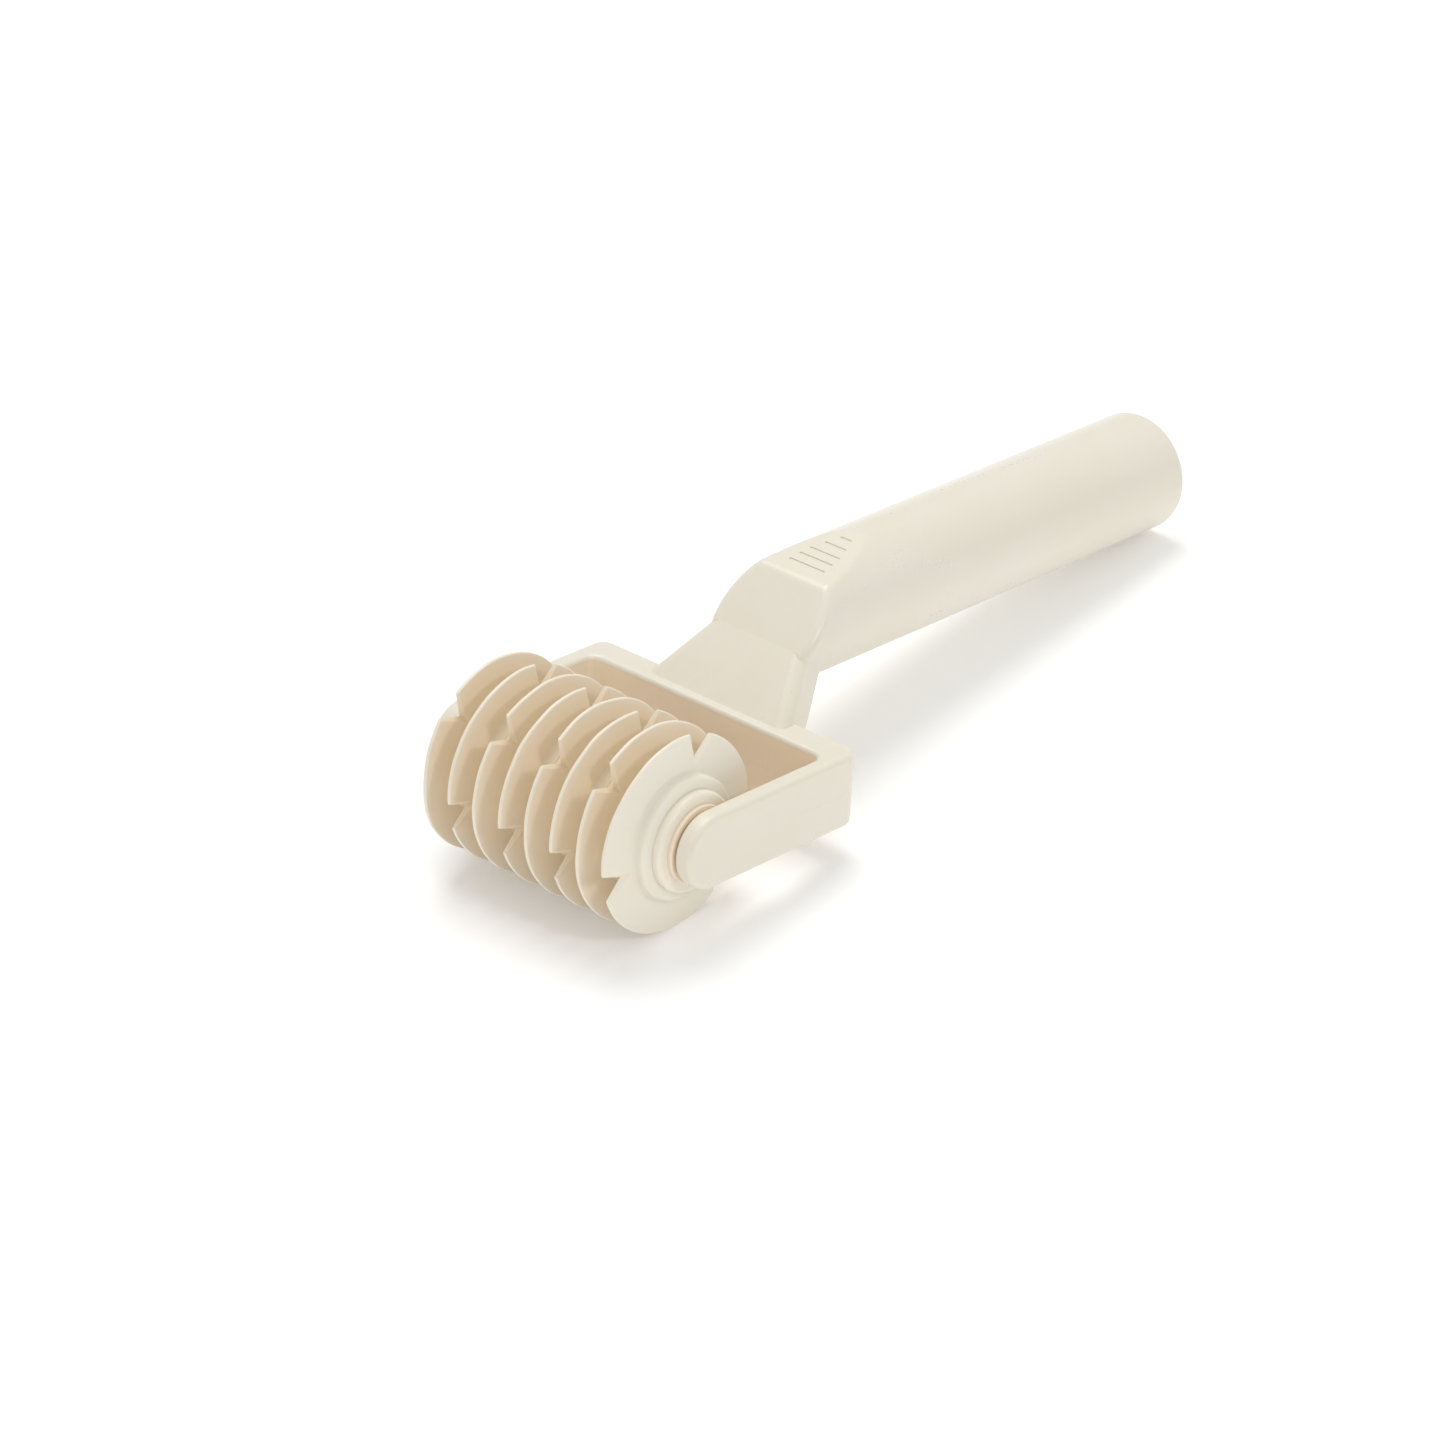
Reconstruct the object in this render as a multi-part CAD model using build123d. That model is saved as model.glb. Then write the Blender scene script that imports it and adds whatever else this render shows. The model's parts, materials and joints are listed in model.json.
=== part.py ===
from build123d import *
import os
from math import asin, atan2, cos, degrees, hypot, radians, sin, tan

# Hand-held lattice roller cutter, in mm.
# It is modelled with the roller's axis along X through the origin, +Y back along the grip and +Z up
# from the yoke, and is then laid down as it rests on a table: on its blades and the grip's far end.

# Roller
WHEEL_COUNT = 8
WHEEL_PITCH = 6.6
BLADE_RADIUS = 20.0
RIM_THICKNESS = 0.8
RIM_ROUNDING = 0.3
ROOT_THICKNESS = 1.9
HUB_RADIUS = 12.5
HUB_COVE = 0.8
SEAM_CHAMFER = 0.15
END_HUB_ROUNDING = 0.9
NOTCH_COUNT = 3
NOTCH_APEX_RADIUS = 15.4
NOTCH_REACH = 1.25
NOTCH_HALF_ANGLE = 32.0
EVEN_PHASE = -14.8
STAGGER = 60.0

# Axle: a hexagonal rod with a round journal at each end
HEX_ACROSS_FLATS = 6.0
HEX_CLEARANCE = 0.05
JOURNAL_RADIUS = 2.5
JOURNAL_CLEARANCE = 0.08
SOCKET_DEPTH = 2.4
AXLE_END_GAP = 0.2

# End caps and thrust washers
CAP_RADIUS = 10.1
CAP_THICKNESS = 1.9
CAP_ROUNDING = 0.8
WASHER_RADIUS = 7.9
WASHER_THICKNESS = 0.9
WASHER_ROUNDING = 0.25
WASHER_CLEARANCE = 0.05

# Yoke
ARM_INNER = 29.6
ARM_THICKNESS = 3.8
ARM_HALF_HEIGHT = 7.6
WALL_INNER = 33.8
WALL_OUTER = 40.8
YOKE_INNER_CORNER = 2.5
YOKE_OUTER_CORNER = 3.0
YOKE_EDGE_ROUNDING = 1.0

# Neck: a slab that climbs from the yoke's rear wall to the grip
NECK_FOOT = 36.0
NECK_ANGLE = 41.7
NECK_THICKNESS = 9.4
NECK_FOOT_HALF_WIDTH = 18.3
NECK_TOP_HALF_WIDTH = 12.0
NECK_LENGTH = 15.4
NECK_BELOW = 1.5
NECK_ABOVE = 4.0
NECK_ROUNDING = 2.5

# Grip
GRIP_RADIUS = 12.45
GRIP_AXIS_HEIGHT = 19.25
GRIP_END = 167.5
GRIP_END_ROUNDING = 1.8
GRIP_WALL = 2.5
GRIP_BORE_START = 68.0
SHOULDER_ANGLE = 47.0
THUMB_REST_ANGLE = 10.4
THUMB_REST_START = 57.1
SHOULDER_SIDE_ROUNDING = 1.8
SHOULDER_TOP_ROUNDING = 3.0

# Thumb grooves: how far back each lies, and its half length
THUMB_GROOVES = [(61.2, 4.5), (63.9, 4.2), (66.5, 3.8), (69.6, 2.7), (72.7, 1.4)]
GROOVE_WIDTH = 0.6
GROOVE_DEPTH = 0.25

# Plug that closes the grip's bore
PLUG_HEAD_RADIUS = 10.7
PLUG_HEAD_THICKNESS = 2.0
PLUG_DEPTH = 9.0
PLUG_WALL = 2.0

# How far a cutting solid runs past what it cuts, and how near counts as the same place
MARGIN = 1.0
NEAR = 0.01

# Worked out from the above
ARM_OUTER = ARM_INNER + ARM_THICKNESS
STACK_HALF = WHEEL_COUNT * WHEEL_PITCH / 2
CAP_OUTER = STACK_HALF + CAP_THICKNESS
JOURNAL_END = ARM_INNER + SOCKET_DEPTH - AXLE_END_GAP
HEX_HOLE = HEX_ACROSS_FLATS + 2 * HEX_CLEARANCE
BORE_RADIUS = GRIP_RADIUS - GRIP_WALL
SHOULDER_FOOT_Y = NECK_FOOT + NECK_LENGTH * cos(radians(NECK_ANGLE))
SHOULDER_FOOT_Z = ARM_HALF_HEIGHT + NECK_LENGTH * sin(radians(NECK_ANGLE))
SHOULDER_RISE = (THUMB_REST_START - SHOULDER_FOOT_Y) * tan(radians(SHOULDER_ANGLE))


def side_plane(x):
    """The plane across X at x, whose own axes run along Y and Z."""
    return Plane(origin=(x, 0, 0), x_dir=(0, 1, 0), z_dir=(1, 0, 0))


def disc(radius, x_from, x_to):
    """A round bar along X."""
    return extrude(side_plane(x_from) * Circle(radius), amount=x_to - x_from)


def on_both_sides(piece):
    """A piece made for the +X side, with its mirror image."""
    return piece + mirror(piece, Plane.YZ)


def hex_bar(across_flats, x_from, x_to):
    """A hexagonal bar along X."""
    outline = RegularPolygon(across_flats / 2, side_count=6, major_radius=False)
    return extrude(side_plane(x_from) * outline, amount=x_to - x_from)


def corner_at(outline, x, y):
    """The outline's corner at a place, to round or chamfer."""
    return outline.vertices().filter_by(lambda v: abs(v.X - x) < NEAR and abs(v.Y - y) < NEAR)


def wheel_blank(outer_end):
    """Blade and hub turned as one, about X. outer_end is -1 or 1 at the ends of the stack, else 0."""
    half = WHEEL_PITCH / 2
    root = ROOT_THICKNESS / 2
    rim = RIM_THICKNESS / 2
    outline = Plane.XY * make_face(Polyline(
        (-half, 0), (-half, HUB_RADIUS), (-root, HUB_RADIUS), (-rim, BLADE_RADIUS),
        (rim, BLADE_RADIUS), (root, HUB_RADIUS), (half, HUB_RADIUS), (half, 0), close=True))
    for end in (-1, 1):
        outline = fillet(corner_at(outline, end * root, HUB_RADIUS), HUB_COVE)
        outline = fillet(corner_at(outline, end * rim, BLADE_RADIUS), RIM_ROUNDING)
        corner = corner_at(outline, end * half, HUB_RADIUS)
        if end == outer_end:
            outline = fillet(corner, END_HUB_ROUNDING)
        else:
            outline = chamfer(corner, SEAM_CHAMFER)
    return revolve(outline, Axis.X)


def notch_cutter():
    """A V across the blade at the top, whose floor falls away to both faces from the blade's middle."""
    height = BLADE_RADIUS + HUB_RADIUS - NOTCH_APEX_RADIUS
    reach = height * tan(radians(NOTCH_HALF_ANGLE))
    outline = Polyline((0, 0), (reach, height), (-reach, height), close=True)
    cutters = []
    for side in (-1, 1):
        sections = []
        for across, apex in ((0, NOTCH_APEX_RADIUS), (NOTCH_REACH, HUB_RADIUS)):
            plane = Plane(origin=(side * across, 0, apex), x_dir=(0, 1, 0), z_dir=(1, 0, 0))
            sections.append(plane * make_face(outline))
        cutters.append(loft(sections, ruled=True))
    return cutters[0] + cutters[1]


def cutter_wheel(index):
    """Wheel 1 is at -X. Each is turned by the stagger from the one before it."""
    outer_end = -1 if index == 1 else 1 if index == WHEEL_COUNT else 0
    phase = EVEN_PHASE + index % 2 * STAGGER
    wheel = wheel_blank(outer_end)
    for number in range(NOTCH_COUNT):
        wheel -= notch_cutter().rotate(Axis.X, phase + number * 360 / NOTCH_COUNT)
    wheel -= hex_bar(HEX_HOLE, -WHEEL_PITCH, WHEEL_PITCH)
    return Pos(X=(index - (WHEEL_COUNT + 1) / 2) * WHEEL_PITCH) * wheel


def axle_rod():
    """Hexagonal through the wheels and caps, round where it runs in the arms."""
    rod = hex_bar(HEX_ACROSS_FLATS, -CAP_OUTER, CAP_OUTER)
    return rod + disc(JOURNAL_RADIUS, -JOURNAL_END, JOURNAL_END)


def end_cap(side):
    """The stepped ring against an end wheel's hub. side is -1 or 1."""
    cap = disc(CAP_RADIUS, STACK_HALF, CAP_OUTER)
    rim = cap.edges().filter_by(GeomType.CIRCLE).sort_by(Axis.X)[-1]
    cap = fillet(rim, CAP_ROUNDING)
    cap -= hex_bar(HEX_HOLE, 0, ARM_INNER)
    return cap if side > 0 else mirror(cap, Plane.YZ)


def thrust_washer(side):
    """The loose washer on the journal, between an end cap and an arm. side is -1 or 1."""
    washer = disc(WASHER_RADIUS, CAP_OUTER, CAP_OUTER + WASHER_THICKNESS)
    rim = washer.edges().filter_by(GeomType.CIRCLE).sort_by(Axis.X)[-1]
    washer = fillet(rim, WASHER_ROUNDING)
    washer -= disc(JOURNAL_RADIUS + WASHER_CLEARANCE, 0, ARM_OUTER)
    return washer if side > 0 else mirror(washer, Plane.YZ)


def yoke():
    """Two arms and the rear wall, a U seen from above, with half-round arm ends."""
    front = -ARM_HALF_HEIGHT
    depth = WALL_OUTER - front
    plan = Pos(0, front + depth / 2) * Rectangle(2 * ARM_OUTER, depth)
    plan = fillet(plan.vertices().sort_by(Axis.Y)[-2:], YOKE_OUTER_CORNER)
    opening_depth = WALL_INNER - front
    opening = Pos(0, front + opening_depth / 2) * Rectangle(2 * ARM_INNER, opening_depth)
    opening = fillet(opening.vertices().sort_by(Axis.Y)[-2:], YOKE_INNER_CORNER)
    block = extrude(plan - opening, amount=ARM_HALF_HEIGHT, both=True)
    side_view = Circle(ARM_HALF_HEIGHT) + Pos(WALL_OUTER / 2, 0) * Rectangle(WALL_OUTER, 2 * ARM_HALF_HEIGHT)
    block &= extrude(side_plane(-ARM_OUTER) * side_view, amount=2 * ARM_OUTER)
    return fillet(block.edges().filter_by(Axis.Z, reverse=True), YOKE_EDGE_ROUNDING)


def neck():
    """The slab, wide at the rear wall and narrowing up to the grip."""
    taper = (NECK_FOOT_HALF_WIDTH - NECK_TOP_HALF_WIDTH) / NECK_LENGTH
    along = Vector(0, cos(radians(NECK_ANGLE)), sin(radians(NECK_ANGLE)))
    foot = Vector(0, NECK_FOOT, ARM_HALF_HEIGHT)
    sections = []
    for distance in (-NECK_BELOW, NECK_LENGTH + NECK_ABOVE):
        half_width = NECK_FOOT_HALF_WIDTH - taper * distance
        plane = Plane(origin=foot + along * distance, x_dir=(1, 0, 0), z_dir=along)
        section = Rectangle(2 * half_width, NECK_THICKNESS, align=(Align.CENTER, Align.MIN))
        sections.append(plane * section)
    slab = loft(sections, ruled=True)
    ends = slab.faces().sort_by(lambda f: f.center().dot(along))
    corners = slab.edges() - ends[0].edges() - ends[-1].edges()
    return fillet(corners, NECK_ROUNDING)


def thumb_rest_height(back):
    """How high the thumb rest's plane is, this far back."""
    rise = (back - THUMB_REST_START) * tan(radians(THUMB_REST_ANGLE))
    return SHOULDER_FOOT_Z + SHOULDER_RISE + rise


def grip():
    """The tube, cut at its front by the sloping shoulder and on top by the thumb rest."""
    bar = Plane(origin=(0, WALL_INNER, GRIP_AXIS_HEIGHT), z_dir=(0, 1, 0)) * Circle(GRIP_RADIUS)
    bar = extrude(bar, amount=GRIP_END - WALL_INNER)
    far_rim = bar.edges().filter_by(GeomType.CIRCLE).sort_by(Axis.Y)[-1]
    bar = fillet(far_rim, GRIP_END_ROUNDING)
    rear = GRIP_END + MARGIN
    low_y, low_z = SHOULDER_FOOT_Y - GRIP_RADIUS, SHOULDER_FOOT_Z - 2 * GRIP_RADIUS
    keep = Polyline((low_y, low_z), (SHOULDER_FOOT_Y, SHOULDER_FOOT_Z),
                    (THUMB_REST_START, thumb_rest_height(THUMB_REST_START)),
                    (rear, thumb_rest_height(rear)), (rear, low_z), close=True)
    bar &= extrude(side_plane(0) * make_face(keep), amount=GRIP_RADIUS + MARGIN, both=True)
    brow = bar.edges().filter_by(Axis.X).filter_by(
        lambda e: abs(e.center().Y - THUMB_REST_START) < NEAR)
    bar = fillet(brow, SHOULDER_TOP_ROUNDING)
    sides = bar.edges().filter_by(GeomType.ELLIPSE).filter_by(
        lambda e: SHOULDER_FOOT_Y < e.center().Y < THUMB_REST_START)
    return fillet(sides, SHOULDER_SIDE_ROUNDING)


def thumb_groove(back, half_length):
    """A fine slot across the thumb rest."""
    tilted = Pos(0, back, thumb_rest_height(back)) * Rot(X=THUMB_REST_ANGLE)
    slot = tilted * SlotOverall(2 * half_length, GROOVE_WIDTH)
    return extrude(slot, amount=GROOVE_DEPTH, both=True)


def bar_from_grip_end(radius, length):
    """A round bar on the grip's axis, from the grip's end forward."""
    end = Plane(origin=(0, GRIP_END, GRIP_AXIS_HEIGHT), z_dir=(0, -1, 0))
    return extrude(end * Circle(radius), amount=length)


def handle_frame():
    """Yoke, neck and grip, moulded in one."""
    frame = yoke() + neck() + grip()
    socket = disc(JOURNAL_RADIUS + JOURNAL_CLEARANCE, ARM_INNER - MARGIN, ARM_INNER + SOCKET_DEPTH)
    frame -= on_both_sides(socket)
    frame -= bar_from_grip_end(BORE_RADIUS, GRIP_END - GRIP_BORE_START)
    frame -= bar_from_grip_end(PLUG_HEAD_RADIUS, PLUG_HEAD_THICKNESS)
    for back, half_length in THUMB_GROOVES:
        frame -= thumb_groove(back, half_length)
    return frame


def handle_end_plug():
    """A cup that closes the grip's bore, its head flush with the grip's end."""
    head = bar_from_grip_end(PLUG_HEAD_RADIUS, PLUG_HEAD_THICKNESS)
    skirt = bar_from_grip_end(BORE_RADIUS, PLUG_DEPTH)
    return head + (skirt - bar_from_grip_end(BORE_RADIUS - PLUG_WALL, PLUG_DEPTH))


def rest_placement():
    """Lay the tool down: tilted back about the roller's axis until the grip's far end touches too."""
    end_y = GRIP_END - GRIP_END_ROUNDING
    end_z = GRIP_AXIS_HEIGHT - GRIP_RADIUS + GRIP_END_ROUNDING
    tilt = asin((BLADE_RADIUS - GRIP_END_ROUNDING) / hypot(end_y, end_z)) + atan2(end_z, end_y)
    rear = GRIP_END * cos(tilt) + (GRIP_AXIS_HEIGHT + GRIP_RADIUS - GRIP_END_ROUNDING) * sin(tilt)
    rear += GRIP_END_ROUNDING * (1 - cos(tilt))
    return Pos(0, (BLADE_RADIUS - rear) / 2, BLADE_RADIUS) * Rot(X=-degrees(tilt))


pieces = {
    "handle_frame": handle_frame(),
    "handle_end_plug": handle_end_plug(),
    "axle_rod": axle_rod(),
    "end_cap_left": end_cap(-1),
    "end_cap_right": end_cap(1),
    "thrust_washer_left": thrust_washer(-1),
    "thrust_washer_right": thrust_washer(1),
}
for wheel_number in range(1, WHEEL_COUNT + 1):
    pieces[f"cutter_wheel_{wheel_number}"] = cutter_wheel(wheel_number)

os.makedirs("parts", exist_ok=True)
placement = rest_placement()
for name, piece in pieces.items():
    export_step(placement * piece, f"parts/{name}.step")
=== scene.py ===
import json
import math

import bpy
from mathutils import Matrix, Vector


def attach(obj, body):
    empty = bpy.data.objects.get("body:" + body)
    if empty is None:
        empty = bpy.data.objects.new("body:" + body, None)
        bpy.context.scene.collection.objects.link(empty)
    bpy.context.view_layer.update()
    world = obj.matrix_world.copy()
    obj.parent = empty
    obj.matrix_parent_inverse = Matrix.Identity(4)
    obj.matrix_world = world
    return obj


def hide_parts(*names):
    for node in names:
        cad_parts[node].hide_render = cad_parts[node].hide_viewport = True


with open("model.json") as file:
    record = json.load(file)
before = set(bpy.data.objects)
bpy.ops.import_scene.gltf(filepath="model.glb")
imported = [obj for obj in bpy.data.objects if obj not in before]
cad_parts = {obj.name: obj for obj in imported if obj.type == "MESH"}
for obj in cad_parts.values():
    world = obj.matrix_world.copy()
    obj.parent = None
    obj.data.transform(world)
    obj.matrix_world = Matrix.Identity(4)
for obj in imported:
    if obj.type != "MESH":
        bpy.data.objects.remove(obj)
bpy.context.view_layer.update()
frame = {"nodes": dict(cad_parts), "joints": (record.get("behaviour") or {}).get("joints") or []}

MM = 0.001
WHEEL_COUNT = 8
ROLLER_CENTRE = Vector(frame["joints"][0]["pos_m"])
REST_TILT = math.radians(9.268)


# ---------------------------------------------------------------- camera, floor and lights

def add_camera():
    """A long lens from in front, to the right and above, looking down at the roller and grip."""
    azimuth, elevation, roll = math.radians(43.39), math.radians(32.81), math.radians(-3.05)
    distance, shift_right, shift_up = 1097.9 * MM, 26.05 * MM, 13.02 * MM
    back = Vector((math.sin(azimuth) * math.cos(elevation),
                   -math.cos(azimuth) * math.cos(elevation),
                   math.sin(elevation)))
    turn = back.to_track_quat("Z", "Y") @ Matrix.Rotation(roll, 3, "Z").to_quaternion()
    data = bpy.data.cameras.new("camera")
    data.lens = 144.7
    data.sensor_width = 36.0
    data.clip_start, data.clip_end = 0.05, 50.0
    camera = bpy.data.objects.new("camera", data)
    camera.rotation_mode = "QUATERNION"
    camera.rotation_quaternion = turn
    right, up = turn @ Vector((1, 0, 0)), turn @ Vector((0, 1, 0))
    camera.location = ROLLER_CENTRE + back * distance + right * shift_right + up * shift_up
    bpy.context.scene.collection.objects.link(camera)
    bpy.context.scene.camera = camera


def add_lamp(name, place, size, power):
    """A round soft lamp that faces the middle of the object."""
    data = bpy.data.lights.new(name, "AREA")
    data.shape = "DISK"
    data.size = size
    data.energy = power
    lamp = bpy.data.objects.new(name, data)
    lamp.location = place
    lamp.rotation_mode = "QUATERNION"
    lamp.rotation_quaternion = (Vector(place) - Vector((0, 0, 0.02))).to_track_quat("Z", "Y")
    bpy.context.scene.collection.objects.link(lamp)


def add_stage():
    """A white floor in a white tent, with soft lamps overhead, to the right and in front."""
    steps, radius = 64, 12.0
    corners = [math.tau * step / steps for step in range(steps)]
    mesh = bpy.data.meshes.new("floor")
    mesh.from_pydata([(radius * math.cos(a), radius * math.sin(a), 0) for a in corners], [],
                     [tuple(range(steps))])
    floor = bpy.data.objects.new("floor", mesh)
    bpy.context.scene.collection.objects.link(floor)
    paper = bpy.data.materials.new("white_paper")
    paper.use_nodes = True
    shader = paper.node_tree.nodes["Principled BSDF"]
    shader.inputs["Base Color"].default_value = (0.96, 0.96, 0.96, 1)
    shader.inputs["Roughness"].default_value = 0.9
    shader.inputs["Specular IOR Level"].default_value = 0.1
    shader.inputs["Emission Color"].default_value = (1, 1, 1, 1)
    shader.inputs["Emission Strength"].default_value = 0.12
    mesh.materials.append(paper)
    world = bpy.data.worlds.new("tent")
    bpy.context.scene.world = world
    world.use_nodes = True
    tent = world.node_tree.nodes["Background"]
    tent.inputs["Color"].default_value = (1.0, 1.0, 1.0, 1)
    tent.inputs["Strength"].default_value = 0.58
    add_lamp("overhead_lamp", (-0.32, 0.26, 1.02), 0.70, 5.4)
    add_lamp("right_lamp", (0.88, -0.14, 0.66), 0.16, 1.7)
    add_lamp("front_lamp", (-0.15, -1.0, 0.45), 0.50, 1.0)
    bpy.context.scene.view_settings.view_transform = "Standard"


# ---------------------------------------------------------------- node maths

class Wire:
    """One socket of a node tree. Arithmetic on it adds Math nodes."""

    def __init__(self, tree, socket):
        self.tree = tree
        self.socket = socket

    def node(self, kind, settings=None, values=None, output=0):
        """Any other node: its settings first, then each socket's value or link."""
        made = self.tree.nodes.new(kind)
        for key, value in (settings or {}).items():
            setattr(made, key, value)
        for key, value in (values or {}).items():
            if isinstance(value, Wire):
                self.tree.links.new(value.socket, made.inputs[key])
            else:
                made.inputs[key].default_value = value
        return Wire(self.tree, made.outputs[output])

    def maths(self, operation, *operands):
        return self.node("ShaderNodeMath", {"operation": operation}, dict(enumerate(operands)))

    def __add__(self, other):
        return self.maths("ADD", self, other)

    def __radd__(self, other):
        return self.maths("ADD", other, self)

    def __sub__(self, other):
        return self.maths("SUBTRACT", self, other)

    def __rsub__(self, other):
        return self.maths("SUBTRACT", other, self)

    def __mul__(self, other):
        return self.maths("MULTIPLY", self, other)

    def __rmul__(self, other):
        return self.maths("MULTIPLY", other, self)

    def __truediv__(self, other):
        return self.maths("DIVIDE", self, other)

    def __gt__(self, other):
        return self.maths("GREATER_THAN", self, other)

    def band(self, low, high):
        """0 at low, 1 at high, smooth between. low may be the larger, which turns it round."""
        return self.node("ShaderNodeMapRange", {"interpolation_type": "SMOOTHSTEP"},
                         {"Value": self, "From Min": low, "From Max": high})

    def mix(self, first, second):
        """first where this is 0 and second where it is 1, both colours."""
        return self.node("ShaderNodeMix", {"data_type": "RGBA"}, {0: self, 6: first, 7: second}, 2)

    def part(self, axis):
        """X, Y or Z of this vector."""
        return self.node("ShaderNodeSeparateXYZ", {}, {0: self}, "XYZ".index(axis))


# ---------------------------------------------------------------- materials

def from_axis(place):
    """Distance from the roller's axis."""
    back, up = place.part("Y"), place.part("Z")
    return place.maths("SQRT", back * back + up * up)


def across(place):
    """Distance from the tool's middle, to either side."""
    return place.maths("ABSOLUTE", place.part("X"))


def blade_depth(place):
    """Painted shade between the blades: a warmer, darker tint standing in for shade and light
    bounced between them. Pale at their rims and on the stack's two outer faces.
    """
    return from_axis(place).band(21.5, 17.6) * across(place).band(23.4, 22.8)


def yoke_depth(place):
    """Painted shade on the walls round the roller, below their rounded top edge: a warm tint
    standing in for shade and light bounced between the parts.
    """
    walls = across(place).band(30.0, 29.4) * place.part("Y").band(36.5, 34.2)
    return walls * place.part("Z").band(7.3, 6.0)


def seam_depth(place):
    """Painted shade in the gap beside the arm."""
    return across(place).band(28.0, 29.5)


def parting_line(place):
    """A fine raised line round the yoke where the two halves of its mould met."""
    offset = place.maths("ABSOLUTE", place.part("Z") + 0.3)
    back = place.part("Y")
    return offset.band(0.14, 0.04) * back.band(42.0, 41.5) * back.band(20.0, 26.0)


PLASTIC_IOR = 1.49
GLOW_BALANCE = (1.0, 0.72, 0.45)    # how far red, green and blue travel inside the plastic
FLOW_STRETCH = 0.18                 # draws the moulding's flow marks out along the tool
SPECK_CELLS, SPECK_STRENGTH = 0.13, 0.55
SPECK_COLOUR = (0.30, 0.22, 0.15, 1)
BUMP_HEIGHT = 0.05 * MM
LINE_HEIGHT = 4.0                   # of the parting line, against the grain's 1


def ivory_plastic(name, finish):
    """Moulded ivory plastic. Its patterns run in mm, along the tool as it lies."""
    material = bpy.data.materials.new(name)
    material.use_nodes = True
    tree = material.node_tree
    shader = tree.nodes["Principled BSDF"]
    place = Wire(tree, tree.nodes.new("ShaderNodeTexCoord").outputs["Object"])
    centre = Matrix.Rotation(REST_TILT, 3, "X") @ ROLLER_CENTRE / MM
    place = place.node("ShaderNodeMapping", {}, {
        "Vector": place, "Rotation": (REST_TILT, 0, 0), "Scale": (1 / MM, 1 / MM, 1 / MM),
        "Location": -centre})
    moved = place.node("ShaderNodeMapping", {}, {
        "Vector": place, "Location": (finish["seed"], 0, 0)})
    drawn = place.node("ShaderNodeMapping", {}, {
        "Vector": moved, "Scale": (1.0, FLOW_STRETCH, 1.0)})
    flow = place.node("ShaderNodeTexNoise", {}, {
        "Vector": drawn, "Scale": 0.11, "Detail": 4.0, "Roughness": 0.55, "Distortion": 0.6})
    cloud = place.node("ShaderNodeTexNoise", {}, {"Vector": moved, "Scale": 0.035, "Detail": 2.0})
    tone = (0.6 * flow + 0.4 * cloud).band(0.32, 0.68)
    colour = tone.mix((*finish["pale"], 1), (*finish["warm"], 1))
    # Painted shade: where the shade mask says, a warmer colour stands in for shade and light bounced
    # between the parts.
    if finish["depth"]:
        colour = finish["depth"](place).mix(colour, (*finish["shade_colour"], 1))

    cells = {"Vector": moved, "Scale": SPECK_CELLS}
    speck_edge = place.node("ShaderNodeTexVoronoi", {}, cells, "Distance").band(0.032, 0.012)
    chance = place.node("ShaderNodeTexVoronoi", {}, cells, "Color")
    chance = place.node("ShaderNodeSeparateColor", {}, {0: chance})
    speck = speck_edge * (chance > 1 - finish["specks"])
    colour = (SPECK_STRENGTH * speck).mix(colour, SPECK_COLOUR)

    grain = place.node("ShaderNodeTexNoise", {}, {"Vector": moved, "Scale": 2.6, "Detail": 3.0})
    dimple = place.node("ShaderNodeTexNoise", {}, {"Vector": moved, "Scale": 0.42, "Detail": 2.0})
    satin = finish["roughness"] + 0.12 * (flow - 0.5) + 0.06 * (grain - 0.5) + 0.2 * speck
    height = 0.6 * grain + 0.5 * dimple + 0.8 * cloud - 0.4 * speck
    if finish["line"]:
        height = height + LINE_HEIGHT * finish["line"](place)
    bump = place.node("ShaderNodeBump", {}, {
        "Height": height, "Strength": 0.3, "Distance": BUMP_HEIGHT})

    tree.links.new(colour.socket, shader.inputs["Base Color"])
    tree.links.new(satin.socket, shader.inputs["Roughness"])
    tree.links.new(bump.socket, shader.inputs["Normal"])
    shader.inputs["IOR"].default_value = PLASTIC_IOR
    shader.inputs["Subsurface Weight"].default_value = finish["glow"]
    shader.inputs["Subsurface Radius"].default_value = GLOW_BALANCE
    shader.inputs["Subsurface Scale"].default_value = finish["reach"] * MM
    return material


# pale and warm are mixed at random. A warm colour of painted shade lies over them where the shade
# mask says.
# line adds relief, glow and reach (mm) set the light inside, and specks is the share of cells that
# hold one.
IVORY = {"pale": (0.80, 0.76, 0.66), "warm": (0.79, 0.74, 0.62), "shade_colour": (0.94, 0.785, 0.60),
         "depth": None, "line": None, "roughness": 0.30, "glow": 0.15, "reach": 1.5,
         "specks": 0.1, "seed": 0.0}
FINISHES = {
    "frame_ivory": {**IVORY, "depth": yoke_depth, "line": parting_line, "specks": 0.22},
    "wheel_ivory": {**IVORY, "pale": (0.850, 0.805, 0.70), "warm": (0.840, 0.79, 0.67),
                    "shade_colour": (0.85, 0.735, 0.565), "depth": blade_depth, "roughness": 0.40,
                    "glow": 0.25, "reach": 0.6, "seed": 31.0},
    "cap_ivory": {**IVORY, "pale": (0.88, 0.82, 0.70), "warm": (0.87, 0.80, 0.67),
                  "glow": 0.1, "seed": 53.0},
    "washer_ivory": {**IVORY, "pale": (0.87, 0.79, 0.66), "warm": (0.86, 0.77, 0.63),
                     "depth": seam_depth, "glow": 0.1, "seed": 77.0},
    "axle_ivory": {**IVORY, "warm": (0.78, 0.71, 0.59), "roughness": 0.28, "seed": 92.0},
    "plug_ivory": {**IVORY, "roughness": 0.46, "seed": 114.0},
}


def paint(node, material):
    mesh = frame["nodes"][node].data
    mesh.materials.clear()
    mesh.materials.append(material)


# ---------------------------------------------------------------- cutter wheels

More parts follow.
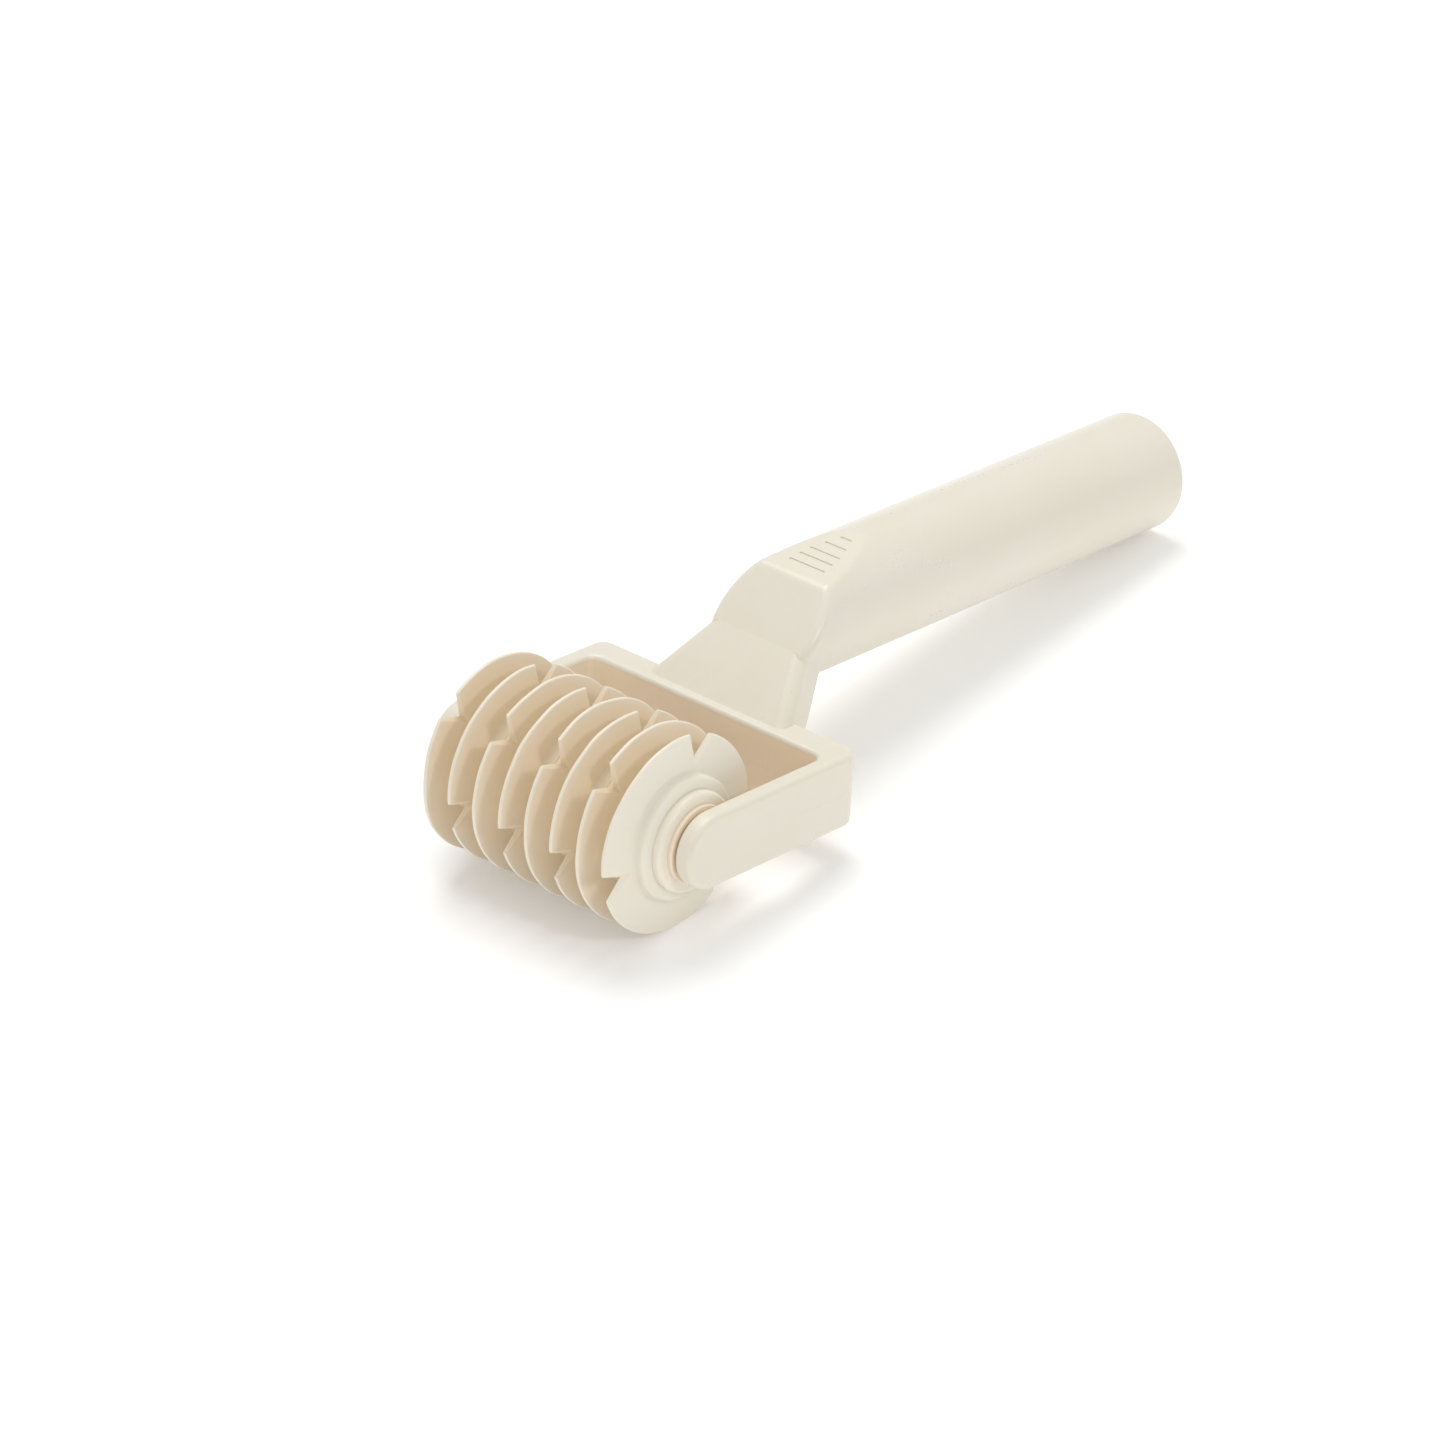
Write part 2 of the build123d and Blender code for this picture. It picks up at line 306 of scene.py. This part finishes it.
HUB_RADIUS, BLADE_RADIUS, WHEEL_BORE = 12.5 * MM, 20.0 * MM, 3.6 * MM
HALF_PITCH, HALF_ROOT, HALF_RIM = 3.3 * MM, 0.95 * MM, 0.4 * MM
HUB_COVE, RIM_ROUNDING, SEAM_CHAMFER, END_ROUNDING = 0.8 * MM, 0.3 * MM, 0.22 * MM, 0.9 * MM
NOTCH_APEX, NOTCH_REACH, NOTCH_HALF_ANGLE = 15.4 * MM, 1.25 * MM, math.radians(32)
EVEN_TURN = math.radians(-14.8) - REST_TILT
ODD_TURN = EVEN_TURN + math.radians(60)
NOTCH_COUNT, STEPS_AROUND, CORNER_STEPS = 3, 240, 6
WARP, WARP_SEED_STEP = 0.45 * MM, 3.7
CREASE_ANGLE = math.radians(28)


def rounded(points):
    """A closed outline from (x, y, radius) corners, each rounded as far as its radius says."""
    outline = []
    for index, (x, y, radius) in enumerate(points):
        corner = Vector((x, y))
        if not radius:
            outline.append(corner)
            continue
        before = Vector(points[index - 1][:2]) - corner
        after = Vector(points[(index + 1) % len(points)][:2]) - corner
        half = before.angle(after) / 2
        before.normalize()
        after.normalize()
        middle = corner + (before + after).normalized() * radius / math.sin(half)
        first = corner + before * radius / math.tan(half) - middle
        last = corner + after * radius / math.tan(half) - middle
        sweep = first.angle_signed(last)
        for step in range(CORNER_STEPS + 1):
            turn = Matrix.Rotation(-sweep * step / CORNER_STEPS, 2)
            outline.append(middle + turn @ first)
    return outline


def wheel_profile(outer_end):
    """Half of a wheel's section: distance out from the hub's surface, and along the axis."""
    ends = {side: END_ROUNDING if side == outer_end else SEAM_CHAMFER for side in (-1, 1)}
    bore, rim = WHEEL_BORE - HUB_RADIUS, BLADE_RADIUS - HUB_RADIUS
    outline = rounded([
        (bore, -HALF_PITCH, 0), (0, -HALF_PITCH, ends[-1]), (0, -HALF_ROOT, HUB_COVE),
        (rim, -HALF_RIM, RIM_ROUNDING), (rim, HALF_RIM, RIM_ROUNDING), (0, HALF_ROOT, HUB_COVE),
        (0, HALF_PITCH, ends[1]), (bore, HALF_PITCH, 0)])
    curve = bpy.data.curves.new("wheel_profile", "CURVE")
    curve.dimensions = "3D"
    spline = curve.splines.new("POLY")
    spline.points.add(len(outline) - 1)
    for point, (out, along) in zip(spline.points, outline):
        point.co = (out, -along, 0, 1)
    spline.use_cyclic_u = True
    return bpy.data.objects.new("wheel_profile", curve)


def notch_wedge():
    """What a notch takes out, at +X of a wheel about Z: a V whose floor falls away to both faces."""
    height = BLADE_RADIUS + HUB_RADIUS - NOTCH_APEX
    reach = height * math.tan(NOTCH_HALF_ANGLE)
    points = []
    for along, apex in ((-NOTCH_REACH, HUB_RADIUS), (0, NOTCH_APEX), (NOTCH_REACH, HUB_RADIUS)):
        points += [(apex, 0, along), (apex + height, -reach, along), (apex + height, reach, along)]
    faces = [(0, 2, 1), (6, 7, 8)]
    for start in (0, 3):
        for one, two in ((0, 1), (1, 2), (2, 0)):
            faces.append((start + one, start + two, start + 3 + two, start + 3 + one))
    mesh = bpy.data.meshes.new("notch_wedge")
    mesh.from_pydata(points, [], faces)
    return bpy.data.objects.new("notch_wedge", mesh)


def wheel_tree():
    """Sweeps the profile round the hub, cuts the notches and lets the thin blade warp a little."""
    tree = bpy.data.node_groups.new("cutter_wheel", "GeometryNodeTree")
    tree.interface.new_socket("Geometry", in_out="OUTPUT", socket_type="NodeSocketGeometry")
    kinds = {"Profile": "Object", "Notch": "Object", "Hub Radius": "Float", "Blade Radius": "Float",
             "Steps Around": "Int", "Notch Count": "Int", "Warp": "Float", "Warp Seed": "Float",
             "Turn": "Float", "Place": "Vector", "Material": "Material"}
    sockets = {}
    for name, kind in kinds.items():
        socket = tree.interface.new_socket(name, in_out="INPUT", socket_type=f"NodeSocket{kind}")
        sockets[name] = socket.identifier
    entry = tree.nodes.new("NodeGroupInput")
    given = {name: Wire(tree, entry.outputs[name]) for name in kinds}
    node = given["Turn"].node

    circle = node("GeometryNodeCurvePrimitiveCircle", {},
                  {"Resolution": given["Steps Around"], "Radius": given["Hub Radius"]})
    section = node("GeometryNodeObjectInfo", {}, {"Object": given["Profile"]}, "Geometry")
    blank = node("GeometryNodeCurveToMesh", {}, {"Curve": circle, "Profile Curve": section})
    blank = node("GeometryNodeFlipFaces", {}, {"Mesh": blank})
    spots = node("GeometryNodeMeshCircle", {}, {"Vertices": given["Notch Count"], "Radius": 1e-6})
    number = node("GeometryNodeInputIndex")
    round_z = node("ShaderNodeCombineXYZ", {}, {
        "Z": number / given["Notch Count"] * math.tau})
    wedge = node("GeometryNodeObjectInfo", {}, {"Object": given["Notch"]}, "Geometry")
    wedges = node("GeometryNodeInstanceOnPoints", {},
                  {"Points": spots, "Instance": wedge, "Rotation": round_z})
    wedges = node("GeometryNodeRealizeInstances", {}, {"Geometry": wedges})
    cut = node("GeometryNodeMeshBoolean", {"solver": "MANIFOLD"},
               {"Mesh 1": blank, "Mesh 2": wedges})

    where = node("GeometryNodeInputPosition")
    flat = where.part("X") * where.part("X") + where.part("Y") * where.part("Y")
    radius = flat.maths("SQRT", flat)
    out = (radius - given["Hub Radius"]) / (given["Blade Radius"] - given["Hub Radius"])
    out = out.maths("MAXIMUM", out, 0.0)
    direction = node("ShaderNodeCombineXYZ", {}, {
        "X": where.part("X") / radius, "Y": where.part("Y") / radius, "Z": given["Warp Seed"]})
    noise = node("ShaderNodeTexNoise", {}, {
        "Vector": direction, "Scale": 1.9, "Detail": 1.0})
    lean = (noise - 0.5) * 2.0 * given["Warp"] * out * out
    warped = node("GeometryNodeSetPosition", {}, {
        "Geometry": cut, "Offset": node("ShaderNodeCombineXYZ", {}, {"Z": lean})})

    smooth = node("GeometryNodeSetShadeSmooth", {}, {"Geometry": warped, "Shade Smooth": True})
    crease = node("GeometryNodeInputMeshEdgeAngle") > CREASE_ANGLE
    smooth = node("GeometryNodeSetShadeSmooth", {"domain": "EDGE"}, {
        "Geometry": smooth, "Selection": crease, "Shade Smooth": False})
    onto_x = node("GeometryNodeTransform", {}, {
        "Geometry": smooth, "Rotation": (0, math.pi / 2, 0)})
    turned = node("ShaderNodeCombineXYZ", {}, {"X": given["Turn"] + math.pi})
    placed = node("GeometryNodeTransform", {}, {
        "Geometry": onto_x, "Rotation": turned, "Translation": given["Place"]})
    real = node("GeometryNodeRealizeInstances", {}, {"Geometry": placed})
    done = node("GeometryNodeSetMaterial", {}, {
        "Geometry": real, "Material": given["Material"]})
    tree.links.new(done.socket, tree.nodes.new("NodeGroupOutput").inputs[0])
    return tree, sockets


def grow(name, tree, sockets, values):
    """Runs a tree on an empty mesh and keeps the result as a plain mesh object at the origin."""
    piece = bpy.data.objects.new(name, bpy.data.meshes.new(name))
    bpy.context.scene.collection.objects.link(piece)
    modifier = piece.modifiers.new("tree", "NODES")
    modifier.node_group = tree
    for key, value in values.items():
        modifier[sockets[key]] = value
    graph = bpy.context.evaluated_depsgraph_get()
    mesh = bpy.data.meshes.new_from_object(piece.evaluated_get(graph))
    mesh.name = name
    mesh.materials.clear()
    mesh.materials.append(values["Material"])
    mesh.polygons.foreach_set("material_index", [0] * len(mesh.polygons))
    piece.modifiers.remove(modifier)
    piece.data = mesh
    return piece


def add_wheels(material):
    tree, sockets = wheel_tree()
    profiles = {side: wheel_profile(side) for side in (-1, 0, 1)}
    notch = notch_wedge()
    for number in range(1, WHEEL_COUNT + 1):
        end = -1 if number == 1 else 1 if number == WHEEL_COUNT else 0
        along = (number - (WHEEL_COUNT + 1) / 2) * 2 * HALF_PITCH
        wheel = grow(f"blade_wheel_{number}", tree, sockets, {
            "Profile": profiles[end], "Notch": notch, "Hub Radius": HUB_RADIUS,
            "Blade Radius": BLADE_RADIUS, "Steps Around": STEPS_AROUND,
            "Notch Count": NOTCH_COUNT, "Warp": WARP, "Warp Seed": WARP_SEED_STEP * number,
            "Turn": EVEN_TURN if number % 2 == 0 else ODD_TURN,
            "Place": ROLLER_CENTRE + Vector((along, 0, 0)), "Material": material})
        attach(wheel, "roller")
        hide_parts(f"cutter_wheel_{number}")


add_camera()
add_stage()

plastics = {name: ivory_plastic(name, finish) for name, finish in FINISHES.items()}
add_wheels(plastics["wheel_ivory"])
paint("handle_frame", plastics["frame_ivory"])
paint("handle_end_plug", plastics["plug_ivory"])
paint("axle_rod", plastics["axle_ivory"])
for side in ("left", "right"):
    paint(f"end_cap_{side}", plastics["cap_ivory"])
    paint(f"thrust_washer_{side}", plastics["washer_ivory"])
